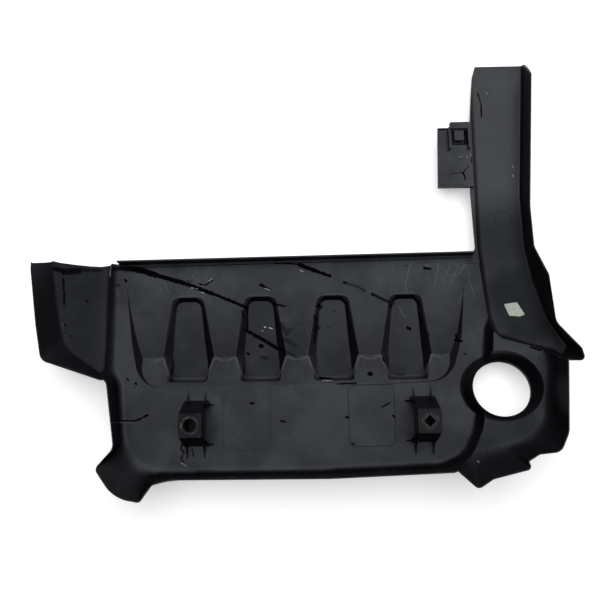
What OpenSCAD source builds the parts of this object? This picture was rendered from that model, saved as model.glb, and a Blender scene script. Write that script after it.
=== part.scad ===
// Moulded engine cover, lying on its show side with the open underside up.
// X runs along the long side and Y across it. Heights are measured from the surface
// that the show side rests on.

/* [Moulding] */
// Wall thickness of the moulding
wall = 2.8; // [2:0.1:3.5]
// Height of the main panel's inner face
panel_z = 28; // [26:0.5:34]
// Height of the skirt at the left end, above the main panel
skirt_left = 30; // [22:1:40]
// Height of the skirt at the right end, above the main panel
skirt_right = 50; // [40:1:60]
// How far the wing tray lies below the main panel
wing_drop = 5.5; // [3:0.5:9]
// How far the right panel stands above the main panel
right_rise = 17; // [10:0.5:20]
// Radius between a floor and its wall
floor_round = 6; // [3:0.5:9]

/* [Arm] */
// How far the arm's floor lies below the main panel at its root
arm_drop = 3; // [2:0.5:6]
// Fall of the arm's floor from root to tip
arm_fall = 15; // [8:0.5:18]
// Height of the arm's side wall
arm_wall = 30; // [20:1:36]
// Height of the flange along the arm's open side, above its floor
flange_step = 5.5; // [3:0.5:8]
// Height of the bracket's plate above the arm's flange
bracket_rise = 1.4; // [0:0.1:2]
// Height of the ribs and lips on the bracket
bracket_rib = 6; // [3:0.5:10]

/* [Recess and pockets] */
// Number of pockets in the row
pocket_count = 4; // [2:1:4]
// Distance between pocket centres
pocket_pitch = 79.7; // [72:0.1:84]
// Centre of the first pocket along X
pocket_first = -132.3; // [-136:0.1:-128]
// Depth of the plateau at its deep edge
plateau_depth = 12; // [8:0.5:15]
// Depth of the pockets at their deep end
pocket_depth = 25; // [20:0.5:25.2]
// Width of a pocket's floor at its deep end
pocket_floor_w = 39; // [32:0.5:42]
// Width of a pocket's mouth at its deep end
pocket_mouth_w = 57; // [48:0.5:60]
// Width of a pocket at its shallow end
pocket_top_w = 31; // [24:0.5:36]

/* [Filler opening] */
// Radius of the opening
filler_r = 31.8; // [28:0.1:33]
// Radius of the cone round the opening
collar_r = 39.6; // [38:0.1:42]
// Height of the opening's lip above the main panel
lip_rise = 12; // [8:0.5:16]

/* [Mounting bosses] */
// Height of the boss faces above the main panel
boss_h = 43; // [36:0.5:48]
// Width of a boss face
boss_w = 24; // [23:0.5:28]
// Thickness of the gusset ribs
rib_t = 2; // [1.5:0.1:3]
// Outer radius of the rubber sockets
socket_r = 9.6; // [8.5:0.1:10]
// Depth of the rubber sockets
socket_len = 14; // [10:0.5:18]
// Radius of the hole in the left socket
socket_hole_r = 6.7; // [5:0.1:7]
// Half the diagonal of the square hole in the right socket
socket_square = 6; // [4:0.1:7]

/* [Hidden] */
$fn = 48;
black = [0.13, 0.13, 0.14];
rubber = [0.2, 0.2, 0.21];
// Centre of the outline, on the plane that the deepest pockets rest on
centre = [-5, 19, panel_z - pocket_depth - wall];
arm_y = [-70, 262];
arm_slope = -arm_fall / (arm_y[1] - arm_y[0]);
skirt_x = [-215, 255];
skirt_slope = (skirt_right - skirt_left) / (skirt_x[1] - skirt_x[0]);
// A height above every part of the cover
over_all = panel_z + 2*skirt_right;

// Each outline is a list of corners [x, y, radius], anticlockwise seen from above.
// Each height is a plane [z at the origin, rise along X, rise along Y].
main_floor = [[-215, 70, 3], [-214, -92, 10], [-206, -104, 12], [-200, -165, 10],
    [-188, -187, 16], [-164, -199, 12], [-60, -199, 40], [140, -196, 12], [163, -183, 14],
    [176, -158, 20], [190, -90, 60], [194, -48, 60], [191, 26, 100], [191, 70, 3]];
main_rim = [[-222, 70, 3], [-220, -92, 5], [-212, -107, 8], [-202, -166, 8],
    [-215, -192, 10], [-180, -229, 12], [-146, -206, 16], [148, -200, 8], [166, -217, 10],
    [224, -192, 20], [215, -120, 150], [205, -48, 60], [200, 26, 60], [200, 70, 3]];
right_floor = [[150, -75, 6], [168, -184, 8], [196, -181, 20], [228, -171, 26], [246, -146, 26],
    [254, -88, 30], [244, -60, 10], [200, -44, 10]];
right_rim = [[140, -75, 6], [170, -202, 8], [208, -200, 20], [240, -181, 16], [254, -166, 16],
    [258, -88, 30], [244, -50, 10], [200, -30, 10]];
arm_floor = [[197, 290, 4], [193, 40, 120], [199, -40, 60], [205, -57, 8], [240, -69, 60],
    [264, -76, 8], [281, -70, 4], [262, -40, 30], [244, 30, 60], [246, 120, 60], [264, 290, 10]];
arm_rim = [[186, 290, 4], [160, 40, 150], [150, -46, 20], [204, -68, 8], [240, -77, 60],
    [264, -93, 8], [288, -84, 5], [259, -40, 26], [246, 30, 60], [250, 120, 60], [268, 290, 10]];
wing_floor = [[-289, 60, 6], [-287, 31, 40], [-278, -20, 40], [-270, -62, 26], [-222, -97, 6],
    [-221, -60, 20], [-222, 60, 6]];
wing_rim = [[-298, 60, 6], [-295, 20, 8], [-285, -50, 60], [-277, -81, 12], [-211, -102, 6],
    [-206, -60, 20], [-206, 60, 6]];
flange_c = [[176, 292, 1], [176, 21, 1], [211, 21, 1], [211, 292, 1]];
plan = [[-320, 24], [-300, 24], [-287, 26], [-279, 29], [-268, 24], [-236, 19.5], [-217, 19.5],
    [-205, 27], [182, 31], [187, 40], [186, 104], [192, 190], [200, 252], [204, 263], [250, 266],
    [262, 240], [270, 100], [300, 0], [300, -240], [-320, -240]];

function cross2(u, v) = u[0]*v[1] - u[1]*v[0];
function unit(v) = v / norm(v);
function xy(p) = [p[0], p[1]];
function out(a, b) = let(u = unit(xy(b) - xy(a))) [u[1], -u[0]];
function before(c, i) = c[(i + len(c) - 1) % len(c)];
function after(c, i) = c[(i + 1) % len(c)];

// The outline with every edge moved outwards by g
function grown(c, g) = [for (i = [0:len(c)-1])
    let(n1 = out(before(c, i), c[i]), n2 = out(c[i], after(c, i)), k = g / (1 + n1*n2))
    [c[i][0] + k*(n1[0] + n2[0]), c[i][1] + k*(n1[1] + n2[1]),
     max(c[i][2] + g*sign(cross2(n1, n2)), 0.4)]];

// Points of the outline, with each corner an arc of steps + 1 points
function arcs(c, steps) = [for (i = [0:len(c)-1])
    let(n1 = out(before(c, i), c[i]), n2 = out(c[i], after(c, i)), s = sign(cross2(n1, n2)),
        mid = xy(c[i]) - s*c[i][2]/(1 + n1*n2)*(n1 + n2),
        turn = atan2(cross2(n1, n2), n1*n2), start = atan2(n1[1], n1[0]))
    for (k = [0:steps])
        let(a = start + turn*k/steps) mid + s*c[i][2]*[cos(a), sin(a)]];

function height(plane, p) = plane[0] + plane[1]*p[0] + plane[2]*p[1];
function raised(plane, dz) = [plane[0] + dz, plane[1], plane[2]];
function ring(c, plane, steps) = [for (p = arcs(c, steps)) [p[0], p[1], height(plane, p)]];
function blend(a, b, k) = a*(1 - k) + b*k;

// A closed solid through rings that have equal numbers of points
module loft(rings) {
    n = len(rings[0]);
    m = len(rings);
    polyhedron([for (r = rings) each r], concat(
        [[for (i = [0:n-1]) i], [for (i = [n-1:-1:0]) (m-1)*n + i]],
        [for (j = [0:m-2], i = [0:n-1]) [j*n + i, (j+1)*n + i, (j+1)*n + (i+1) % n]],
        [for (j = [0:m-2], i = [0:n-1]) [j*n + i, (j+1)*n + (i+1) % n, j*n + (i+1) % n]]));
}

// A tub from its floor to its rim, with a rounded floor edge. The outer form is grown by t;
// the inner form, with t = 0, runs on past the rim and straight up, so that it cuts open
// whatever stands over it.
module tub(floor_c, floor_p, rim_c, rim_p, t, r = floor_round, steps = 3) {
    past = t > 0 ? 0 : 0.25;
    top = blend(floor_c, rim_c, 1 + past);
    loft([
        for (a = [0, 35, 70]) ring(grown(floor_c, t - (r + t)*(1 - sin(a))),
            raised(floor_p, r - (r + t)*cos(a)), steps),
        ring(grown(top, t), blend(floor_p, rim_p, 1 + past), steps),
        if (t == 0) ring(top, [over_all, 0, 0], steps)]);
}

main_plane = [panel_z, 0, 0];
rim_plane = [panel_z + skirt_left - skirt_x[0]*skirt_slope, skirt_slope, 0];
right_plane = [panel_z + right_rise, 0, 0];
wing_plane = [panel_z - wing_drop, 0, 0];
arm_plane = [panel_z - arm_drop + arm_slope*(-arm_y[0]), 0, arm_slope];
arm_rim_plane = raised(arm_plane, arm_wall);

// Section along Y, extruded across the given span of X
module section(points, x0, x1) {
    translate([x0, 0, 0]) rotate([90, 0, 90]) linear_extrude(x1 - x0) polygon(points);
}

recess_c = [[-199, -6, 6], [-193, -60, 40], [-183, -111, 34], [0, -112.5, 30], [150, -108, 34],
    [165, -60, 40], [171, -6, 6]];
recess_y = [-6, -79, -112];

// Shallow recess: a plateau that falls to its deep edge, then a band that climbs back
module recess(t) {
    intersection() {
        loft([ring(grown(recess_c, t - 7), [panel_z - plateau_depth - t - 2, 0, 0], 3),
            ring(grown(recess_c, t), [panel_z, 0, 0], 3),
            ring(grown(recess_c, t), [panel_z + 4, 0, 0], 3)]);
        section([[recess_y[0] + 12, panel_z + 4 - t], [recess_y[0], panel_z - t],
            [recess_y[1] + 2, panel_z - plateau_depth - t],
            [recess_y[1] - 4, panel_z - plateau_depth - t], [recess_y[2], panel_z - t],
            [recess_y[2] - 12, panel_z + 4 - t]], -230, 200);
    }
}

pocket_y = [-16, -75, -98, -106];

// Tapered pocket: widest at its deep end, where the lower corners are cut off
module pocket(t) {
    deep = [[-pocket_top_w/2 + 1, pocket_y[0] - 1, 5], [-pocket_floor_w/2 + 1, pocket_y[1], 10],
        [-pocket_floor_w/2, pocket_y[2], 3], [pocket_floor_w/2, pocket_y[2], 3],
        [pocket_floor_w/2 - 1, pocket_y[1], 10], [pocket_top_w/2 - 1, pocket_y[0] - 1, 5]];
    mouth = [[-pocket_top_w/2 - 2, pocket_y[0], 7], [-pocket_mouth_w/2, pocket_y[1], 3],
        [-pocket_floor_w/2 - 1, pocket_y[3], 3], [pocket_floor_w/2 + 1, pocket_y[3], 3],
        [pocket_mouth_w/2, pocket_y[1], 3], [pocket_top_w/2 + 2, pocket_y[0], 7]];
    intersection() {
        loft([ring(grown(deep, t), [panel_z - pocket_depth - t - 1, 0, 0], 3),
            ring(grown(mouth, t), [panel_z - 6, 0, 0], 3),
            ring(grown(mouth, t), [panel_z + 2, 0, 0], 3)]);
        section([[pocket_y[0] + 3, panel_z - 2 - t], [pocket_y[2] + 6, panel_z - pocket_depth - t],
            [pocket_y[2], panel_z - pocket_depth - t], [pocket_y[3] - 3, panel_z - 7 - t],
            [pocket_y[3] - 3, panel_z + 2], [pocket_y[0] + 3, panel_z + 2]], -40, 40);
    }
}

// Filled form of the whole cover, grown by t: the moulding is what lies between two of them
module form(t) {
    tub(main_floor, main_plane, main_rim, rim_plane, t);
    tub(right_floor, right_plane, right_rim, rim_plane, t);
    tub(arm_floor, arm_plane, arm_rim, arm_rim_plane, t, 3);
    tub(flange_c, raised(arm_plane, flange_step), grown(flange_c, 2), arm_rim_plane, t, 1, 1);
    tub(wing_floor, wing_plane, wing_rim, rim_plane, t, 4);
    recess(t);
    for (i = [0:pocket_count-1]) translate([pocket_first + i*pocket_pitch, 0, 0]) pocket(t);
}

// Low lip along the open edge of the main panel, higher at its left end
module top_lip() {
    heights = [18, 14];
    ends = [-205, 182];
    edge = [26, 30];
    loft([for (k = [0, 1]) let(x = ends[k], y = edge[k], h = heights[k]) [
        [x, y - 3, panel_z - wall], [x, y + 2, panel_z - wall], [x, y + 7, panel_z + h],
        [x, y + 4.5, panel_z + h], [x, y, panel_z], [x, y - 3, panel_z]]]);
}

filler = [201.5, -117.5];
lip_z = panel_z + lip_rise;
land = 4;
rim_r = filler_r + 1.6;

// Cone that joins both panels to the lip of the opening: it stands on the main panel and
// is sunk into the higher right panel
module collar() {
    difference() {
        union() {
            children();
            translate([filler[0], filler[1], panel_z - wall])
                cylinder(h = lip_rise + wall, r1 = collar_r + 1, r2 = rim_r);
        }
        translate([filler[0], filler[1], 0]) {
            translate([0, 0, lip_z])
                cylinder(h = right_rise - lip_rise + 1, r1 = rim_r, r2 = collar_r + 1);
            cylinder(h = panel_z - wall, r = collar_r - 1);
            translate([0, 0, panel_z - wall - 0.01])
                cylinder(h = lip_rise + wall - land, r1 = collar_r - 1, r2 = filler_r - 0.2);
        }
    }
}

// Each boss is [x, y, side that its box is open on]
left_boss = [-121, -151, 1];
right_boss = [120.5, -149.5, -1];
boss_z = panel_z + boss_h;
box_wall = 2.4;
seat_floor = 2;
seat_lip = 1.6;
socket_gap = 0.1;
rest_gap = 0.02;
rib_x = 9.2;

module boss_block(g) {
    loft([ring(grown([[-14, 27, 2], [-14, -22, 2], [14, -22, 2], [14, 27, 2]], -g),
            [panel_z - wall/2, 0, 0], 2),
        ring(grown([[-boss_w/2, boss_w/2, 2], [-boss_w/2, -boss_w/2, 2],
            [boss_w/2, -boss_w/2, 2], [boss_w/2, boss_w/2, 2]], -g), [boss_z - g, 0, 0], 2)]);
}

// Pedestal box with one open side, a tube for its socket and two gusset ribs
module boss() {
    room = rib_x - rib_t/2;
    difference() {
        union() {
            boss_block(0);
            for (x = [-rib_x, rib_x])
                section([[38, panel_z - 1], [38, panel_z + 1], [13, boss_z - 5], [10, boss_z - 1],
                    [-10, boss_z - 1], [-13, boss_z - 6], [-34, panel_z + 1], [-34, panel_z - 1]],
                    x - rib_t/2, x + rib_t/2);
        }
        intersection() {
            boss_block(box_wall);
            translate([-room, -40, panel_z]) cube([2*room, 80, boss_h]);
        }
        translate([0, -8, panel_z]) cube([40, 16, boss_h - box_wall - 1]);
    }
    translate([0, 0, boss_z - socket_len - seat_floor])
        cylinder(h = socket_len + seat_floor - 1, r = socket_r + 1.8);
}

// Bored seat of a socket, with a smaller hole through its floor
module seat() {
    translate([0, 0, boss_z - socket_len]) cylinder(h = socket_len + 1, r = socket_r + socket_gap);
    translate([0, 0, boss_z - socket_len - seat_floor - 1])
        cylinder(h = seat_floor + 2, r = socket_r - seat_lip);
}

module placed(b) {
    translate([b[0], b[1], 0]) mirror([b[2] < 0 ? 1 : 0, 0, 0]) children();
}

flange_plane = raised(arm_plane, flange_step);
bracket = [150, 108, 190, 184];
bracket_plane = raised(flange_plane, bracket_rise);

// A plate that follows the arm's slope, between two heights above the bracket's plane
module slab(x0, y0, x1, y1, lo, hi) {
    c = [[x0, y1, 0.6], [x0, y0, 0.6], [x1, y0, 0.6], [x1, y1, 0.6]];
    loft([ring(c, raised(bracket_plane, lo), 1), ring(c, raised(bracket_plane, hi), 1)]);
}

// Side bracket: a ribbed plate with a clip window near its upper end
module side_bracket() {
    window = [169, 160, 185, 180];
    difference() {
        union() {
            slab(bracket[0], bracket[1], bracket[2], bracket[3], -wall, 0);
            slab(bracket[0], bracket[1], bracket[2], bracket[1] + rib_t, -wall, bracket_rib/2);
            slab(bracket[0] + 13, bracket[3], bracket[2], bracket[3] + 7, -wall, bracket_rib/2);
            slab(window[0] - rib_t, window[1] - rib_t, window[2] + rib_t, window[3] + rib_t,
                -wall - bracket_rib, 0);
            for (x = [window[0] - 7, window[2]])
                slab(x, window[1] - rib_t, x + rib_t, window[3] + rib_t, -1, bracket_rib);
        }
        slab(window[0], window[1], window[2], window[3], -wall - bracket_rib - 1, bracket_rib);
    }
    slab(window[0] + 3, window[3] - 11, window[2] - 3, window[3] + 0.5, -wall, 0);
}

// The moulding before its bores, taken as one mesh
module shell() resize([0, 0, 0]) collar() {
    intersection() {
        difference() {
            form(wall);
            form(0);
        }
        translate([0, 0, -1]) linear_extrude(over_all) polygon(plan);
    }
    top_lip();
    side_bracket();
    placed(left_boss) boss();
    placed(right_boss) boss();
}

module moulding() {
    difference() {
        shell();
        translate([filler[0], filler[1], 0]) cylinder(h = 100, r = filler_r);
        placed(left_boss) seat();
        placed(right_boss) seat();
    }
}

socket_z = boss_z - socket_len + rest_gap;

module cover() color(black) translate(-centre) moulding();

module left_socket() color(rubber) translate(-centre) placed(left_boss) translate([0, 0, socket_z])
    difference() {
        cylinder(h = socket_len, r = socket_r);
        translate([0, 0, -1]) cylinder(h = socket_len + 2, r = socket_hole_r);
    }

module right_socket() color(rubber) translate(-centre) placed(right_boss) translate([0, 0, socket_z])
    difference() {
        cylinder(h = socket_len, r = socket_r);
        translate([0, 0, -1]) rotate(45)
            translate([-socket_square/sqrt(2), -socket_square/sqrt(2), 0])
            cube([socket_square*sqrt(2), socket_square*sqrt(2), socket_len + 2]);
    }

sticker_c = [[220, -37, 0.5], [231, -38, 0.5], [237, -36, 0.5], [229.5, -22, 0.8], [215, -24, 0.8]];
sticker_t = 0.4;

module sticker() color([0.62, 0.68, 0.6]) translate(-centre)
    loft([ring(sticker_c, raised(arm_plane, rest_gap), 1),
        ring(sticker_c, raised(arm_plane, rest_gap + sticker_t), 1)]);

cover();
left_socket();
right_socket();
sticker();
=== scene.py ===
import math
import bpy
import numpy as np
from mathutils import Matrix, Vector


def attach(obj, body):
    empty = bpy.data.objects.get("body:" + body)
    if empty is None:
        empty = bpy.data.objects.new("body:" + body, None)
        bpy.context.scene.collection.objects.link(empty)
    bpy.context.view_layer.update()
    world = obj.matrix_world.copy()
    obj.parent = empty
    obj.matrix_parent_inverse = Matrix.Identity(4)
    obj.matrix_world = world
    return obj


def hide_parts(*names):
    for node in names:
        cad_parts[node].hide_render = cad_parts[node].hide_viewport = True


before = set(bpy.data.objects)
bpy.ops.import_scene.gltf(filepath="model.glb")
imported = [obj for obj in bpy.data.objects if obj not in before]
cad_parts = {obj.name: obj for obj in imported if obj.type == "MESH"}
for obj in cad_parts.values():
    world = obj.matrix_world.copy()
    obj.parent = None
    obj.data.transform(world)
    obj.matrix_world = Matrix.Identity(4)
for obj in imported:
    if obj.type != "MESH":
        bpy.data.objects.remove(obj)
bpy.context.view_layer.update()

# Camera: it stands 0.75 m over the main panel and looks almost straight down, 10 degrees
# towards the arm's side, as the walls that show in the photograph say.
FOCAL_PX = 695.0
IMAGE_PX = 600.0
FOOT_PX = (312.0, 427.0)
CAMERA_ABOVE_PANEL = 0.751
TURN = math.radians(0.75)
MM = 0.001
PANEL_Z = 28.0
CENTRE = np.array([-5.0, 19.0, 0.2])


def camera_axes():
    """World axes in camera terms: Z points back from the foot, X is square to it, then both
    X and Y turn by the cover's own turn on the floor."""
    half = IMAGE_PX / 2
    up = -Vector((FOOT_PX[0] - half, half - FOOT_PX[1], -FOCAL_PX)).normalized()
    across = (Vector((1, 0, 0)) - up * up.x).normalized()
    along = up.cross(across)
    turn_c, turn_s = math.cos(TURN), math.sin(TURN)
    return turn_c * across + turn_s * along, turn_c * along - turn_s * across, up


camera_data = bpy.data.cameras.new("camera")
camera_data.lens = FOCAL_PX / IMAGE_PX * 36
camera_data.sensor_width = 36
camera = bpy.data.objects.new("camera", camera_data)
bpy.context.scene.collection.objects.link(camera)
FOOT_MM = (2.13, -153.98)
place = Matrix([[*axis] for axis in camera_axes()]).to_4x4()
place.translation = ((FOOT_MM[0] - CENTRE[0]) * MM, (FOOT_MM[1] - CENTRE[1]) * MM,
                     (PANEL_Z - CENTRE[2]) * MM + CAMERA_ABOVE_PANEL)
camera.matrix_world = place
bpy.context.scene.camera = camera

# Floor and light: a white sheet under the cover and one broad soft light over it, a little
# towards the arm's tip. The sheet and the room show white to the camera, and light little.
floor_mesh = bpy.data.meshes.new("floor")
floor_mesh.from_pydata([(-3, -3, -0.0005), (3, -3, -0.0005), (3, 3, -0.0005), (-3, 3, -0.0005)],
                       [], [(0, 1, 2, 3)])
floor = bpy.data.objects.new("floor", floor_mesh)
bpy.context.scene.collection.objects.link(floor)
white = bpy.data.materials.new("white_sheet")
white.use_nodes = True
nodes, links = white.node_tree.nodes, white.node_tree.links
sheet = nodes["Principled BSDF"].inputs
sheet["Base Color"].default_value = (0.9, 0.9, 0.9, 1)
sheet["Roughness"].default_value = 0.9
sheet["Emission Strength"].default_value = 0.42
seen = nodes.new("ShaderNodeLightPath")
links.new(seen.outputs["Is Camera Ray"], sheet["Emission Color"])
floor_mesh.materials.append(white)


def lamp(name, where, aim, size, power):
    """A rectangular area light of the given width and height, turned to face the point aim."""
    light = bpy.data.lights.new(name, "AREA")
    light.shape = "RECTANGLE"
    light.size, light.size_y = size
    light.energy = power
    obj = bpy.data.objects.new(name, light)
    obj.location = where
    obj.rotation_euler = (Vector(aim) - Vector(where)).to_track_quat("-Z", "Y").to_euler()
    bpy.context.scene.collection.objects.link(obj)


lamp("overhead", (0.08, 0.68, 1.7), (0.08, 0.68, 0), (2.4, 2.4), 50)
world = bpy.data.worlds.new("studio")
world.use_nodes = True
bpy.context.scene.world = world
nodes, links = world.node_tree.nodes, world.node_tree.links
seen = nodes.new("ShaderNodeLightPath")
shade = nodes.new("ShaderNodeMix")
shade.data_type = "RGBA"
shade.inputs["A"].default_value = (0.06, 0.06, 0.062, 1)
shade.inputs["B"].default_value = (1, 1, 1, 1)
links.new(seen.outputs["Is Camera Ray"], shade.inputs["Factor"])
links.new(shade.outputs["Result"], nodes["Background"].inputs["Color"])
bpy.context.scene.view_settings.view_transform = "Standard"

# Cover: one injection moulding in black plastic. It is built as the mould is cut: one
# filled form, grown by the wall thickness, less the same form as it is.
WALL = 2.8
SKIRT_LEFT, SKIRT_RIGHT = 30.0, 50.0
WING_DROP, RIGHT_RISE = 5.5, 17.0
ARM_DROP, ARM_FALL, ARM_WALL, FLANGE_STEP = 3.0, 15.0, 30.0, 5.5
PLATEAU_DEPTH, POCKET_DEPTH, POCKET_STEP = 12.0, 25.0, 8.0
POCKETS, PITCH, FIRST = 4, 79.7, -132.3

main_floor = [(-215, 70, 3), (-214, -92, 10), (-206.5, -104, 12), (-201, -164, 34),
              (-194, -182, 32), (-185.5, -191, 34), (-175, -197.5, 34), (-163, -201, 34),
              (-120, -201.8, 40), (20, -201, 300), (140, -196.5, 34), (164, -184, 34),
              (176, -158, 40), (190, -90, 60), (193.5, -53, 20), (203, -30, 20), (203, 70, 3)]
main_rim = [(-222, 70, 3), (-221, -94, 5), (-209.8, -106, 8), (-200, -173, 12),
            (-218.5, -193.3, 5), (-198.5, -221, 38), (-172.8, -225.8, 4), (-160.5, -209, 6),
            (-142, -204, 20), (20, -204, 300), (142, -199.3, 12), (171, -187, 14),
            (185, -160, 20), (199, -90, 60), (202.5, -53, 20), (206, -30, 20), (206, 70, 3)]
right_floor = [(150, -75, 6), (152, -184, 4), (166, -185.5, 6), (180, -183.5, 20),
               (198, -180.2, 20), (206, -178.3, 20), (216, -175.5, 20), (229, -170.5, 38),
               (247, -147, 38), (254, -88, 30), (244, -60, 10), (200, -44, 10)]
right_rim = [(140, -75, 6), (143.5, -196, 4), (164.3, -215.2, 5), (178.9, -205.8, 10),
             (215.8, -196.8, 3), (213.6, -189.6, 1), (225, -182.6, 5), (246, -180.4, 10),
             (254.8, -162, 26), (260.2, -88, 30), (244, -50, 10), (200, -30, 10)]
arm_floor = [(197, 290, 4), (193, 40, 120), (199, -40, 60), (205, -57, 8), (240, -69, 60),
             (262, -75, 6), (272, -82, 3), (280, -71, 3), (261, -40, 30), (249.5, -1, 40),
             (243.5, 40, 60), (243.6, 100, 90), (261, 290, 10)]
arm_rim = [(186, 290, 4), (172, 40, 150), (176, -46, 20), (204, -68, 8), (240, -77, 60),
           (264, -88.5, 8), (285.8, -89, 4), (283.2, -77.3, 5), (259, -49, 16), (256.2, 2.5, 9),
           (243.2, 34, 14), (242.8, 80, 100), (262.8, 290, 10)]
wing_floor = [(-289, 60, 6), (-287, 31, 40), (-278, -20, 60), (-269, -64, 45), (-222, -98, 6),
              (-221, -60, 20), (-222, 60, 6)]
wing_rim = [(-304, 60, 6), (-297.6, 21, 60), (-288, -44, 60), (-280.8, -80.7, 11),
            (-211, -104.5, 6), (-204.6, -59, 20), (-204.6, 60, 6)]
flange_c = [(176, 292, 1), (176, 21, 1), (211, 21, 1), (211, 292, 1)]
plan = [(-298.1, 25), (-297.6, 24.8), (-297, 24.6), (-291, 29), (-286, 33.5), (-278, 31.4),
        (-261, 28.8), (-244, 26.7), (-231, 25.9), (-224, 26.6), (-209, 27), (182, 31), (187, 40),
        (186, 104), (191, 190), (199, 252.5), (203, 265.9), (252, 265.9), (290, 265.9), (300, 0),
        (300, -240), (-298.1, -240)]


def normals_of(corners):
    """Outward normals of the edges that arrive at and leave each corner."""
    c = np.asarray(corners, float)[:, :2]
    step = np.roll(c, -1, 0) - c
    step /= np.linalg.norm(step, axis=1, keepdims=True)
    leave = np.stack([step[:, 1], -step[:, 0]], 1)
    return np.roll(leave, 1, 0), leave


def grown(corners, g):
    """The outline with every edge moved outwards by g, and the corner radii with it."""
    c = np.asarray(corners, float)
    arrive, leave = normals_of(c)
    turn = np.sign(arrive[:, 0] * leave[:, 1] - arrive[:, 1] * leave[:, 0])
    out = c.copy()
    out[:, :2] += g / (1 + (arrive * leave).sum(1))[:, None] * (arrive + leave)
    out[:, 2] = np.maximum(c[:, 2] + g * turn, 0.4)
    return out


def arcs(corners, steps):
    """Points of the outline: each corner is an arc about its centre, swept in equal angles
    from the normal of the edge that arrives to that of the edge that leaves."""
    c = np.asarray(corners, float)
    arrive, leave = normals_of(c)
    cross = arrive[:, 0] * leave[:, 1] - arrive[:, 1] * leave[:, 0]
    dot = (arrive * leave).sum(1)
    side = np.sign(cross)
    centre = c[:, :2] - (side * c[:, 2] / (1 + dot))[:, None] * (arrive + leave)
    start = np.arctan2(arrive[:, 1], arrive[:, 0])[:, None]
    angle = start + np.arctan2(cross, dot)[:, None] * np.linspace(0, 1, steps + 1)
    reach = (side * c[:, 2])[:, None, None]
    return (centre[:, None, :] + reach * np.stack([np.cos(angle), np.sin(angle)], 2)).reshape(-1, 2)


def ring(corners, plane, steps):
    """The outline's points at the height of a plane [z at the origin, rise along X, along Y]."""
    p = arcs(corners, steps)
    return np.column_stack([p, plane[0] + plane[1] * p[:, 0] + plane[2] * p[:, 1]])


def to_object(name, points, faces):
    """A mesh object from points in the cover's millimetres and faces of any size."""
    mesh = bpy.data.meshes.new(name)
    mesh.from_pydata(((points - CENTRE) * MM).tolist(), [], faces)
    obj = bpy.data.objects.new(name, mesh)
    bpy.context.scene.collection.objects.link(obj)
    return obj


def loft(name, rings):
    """A closed solid through rings of equal length: each gap between neighbours is split on
    the same diagonal, so that forms grown by a wall stay parallel, and each end has a cap."""
    n, m = len(rings[0]), len(rings)
    i = np.arange(n)
    j = np.arange(m - 1)[:, None]
    nxt = (i + 1) % n
    a, b, c, d = j * n + i, j * n + nxt, (j + 1) * n + nxt, (j + 1) * n + i
    sides = np.concatenate([np.stack([a, c, d], 2), np.stack([a, b, c], 2)]).reshape(-1, 3)
    faces = sides.tolist() + [i[::-1].tolist(), ((m - 1) * n + i).tolist()]
    return to_object(name, np.concatenate(rings), faces)


def blend(a, b, k):
    """Two outlines or planes mixed, a (1 - k) + b k."""
    return np.asarray(a, float) * (1 - k) + np.asarray(b, float) * k


def raised(plane, dz):
    """The plane moved up by dz."""
    return np.array([plane[0] + dz, plane[1], plane[2]])


OVER_ALL = 128.0
RIM_T = 1.1
FINE = 10
ROUND_STEPS = 7
WALL_STEPS = 9


def tub(name, floor_c, floor_p, rim_c, rim_p, t, r=8.0, steps=FINE):
    """A tub from floor to rim. The floor's edge is the curve inset (1-k)^2 + floor 2k(1-k) +
    wall k^2, which touches floor and wall, then the wall is straight. The outer form is grown
    by t; with t = 0 it runs on past the rim and straight up, and cuts open what is over it."""
    past = 0.0 if t > 0 else 0.25
    foot = 1.2 * r / (rim_p[0] - floor_p[0])
    inset, up = grown(floor_c, -r), blend(floor_c, rim_c, foot)
    rings = [ring(grown(inset * (1 - k) ** 2 + np.array(floor_c) * 2 * k * (1 - k) + up * k * k,
                        t * math.sin(math.pi / 2 * k)),
                  raised(blend(floor_p, rim_p, foot * k * k), -t * math.cos(math.pi / 2 * k)), steps)
             for k in np.linspace(0, 1, ROUND_STEPS)]
    for k in np.append(np.linspace(foot, 1, WALL_STEPS)[1:-1], 1 + past):
        wall = t + (RIM_T * np.sign(t) - t) * max(0, (k - 0.6) / 0.4) if t else 0
        rings.append(ring(grown(blend(floor_c, rim_c, k), wall), blend(floor_p, rim_p, k), steps))
    if t == 0:
        rings.append(ring(blend(floor_c, rim_c, 1 + past), [OVER_ALL, 0, 0], steps))
    return loft(name, rings)


def section(name, points, x0, x1):
    """A closed outline of Y and Z, extruded from x0 to x1; it is turned anticlockwise first,
    by the sign of its shoelace area."""
    p = np.asarray(points, float)
    if (p[:, 0] * (np.roll(p[:, 1], -1) - np.roll(p[:, 1], 1))).sum() < 0:
        p = p[::-1]
    rings = [np.column_stack([np.full(len(p), x), p]) for x in (x0, x1)]
    return loft(name, rings)


def combine(base, other, how):
    """The exact boolean of two closed solids; the second one is used up."""
    cut = base.modifiers.new(how, "BOOLEAN")
    cut.operation, cut.object, cut.solver = how, other, "MANIFOLD"
    graph = bpy.context.evaluated_depsgraph_get()
    mesh = bpy.data.meshes.new_from_object(base.evaluated_get(graph))
    old = base.data
    base.modifiers.clear()
    base.data = mesh
    bpy.data.meshes.remove(old)
    bpy.data.objects.remove(other)
    return base


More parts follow.
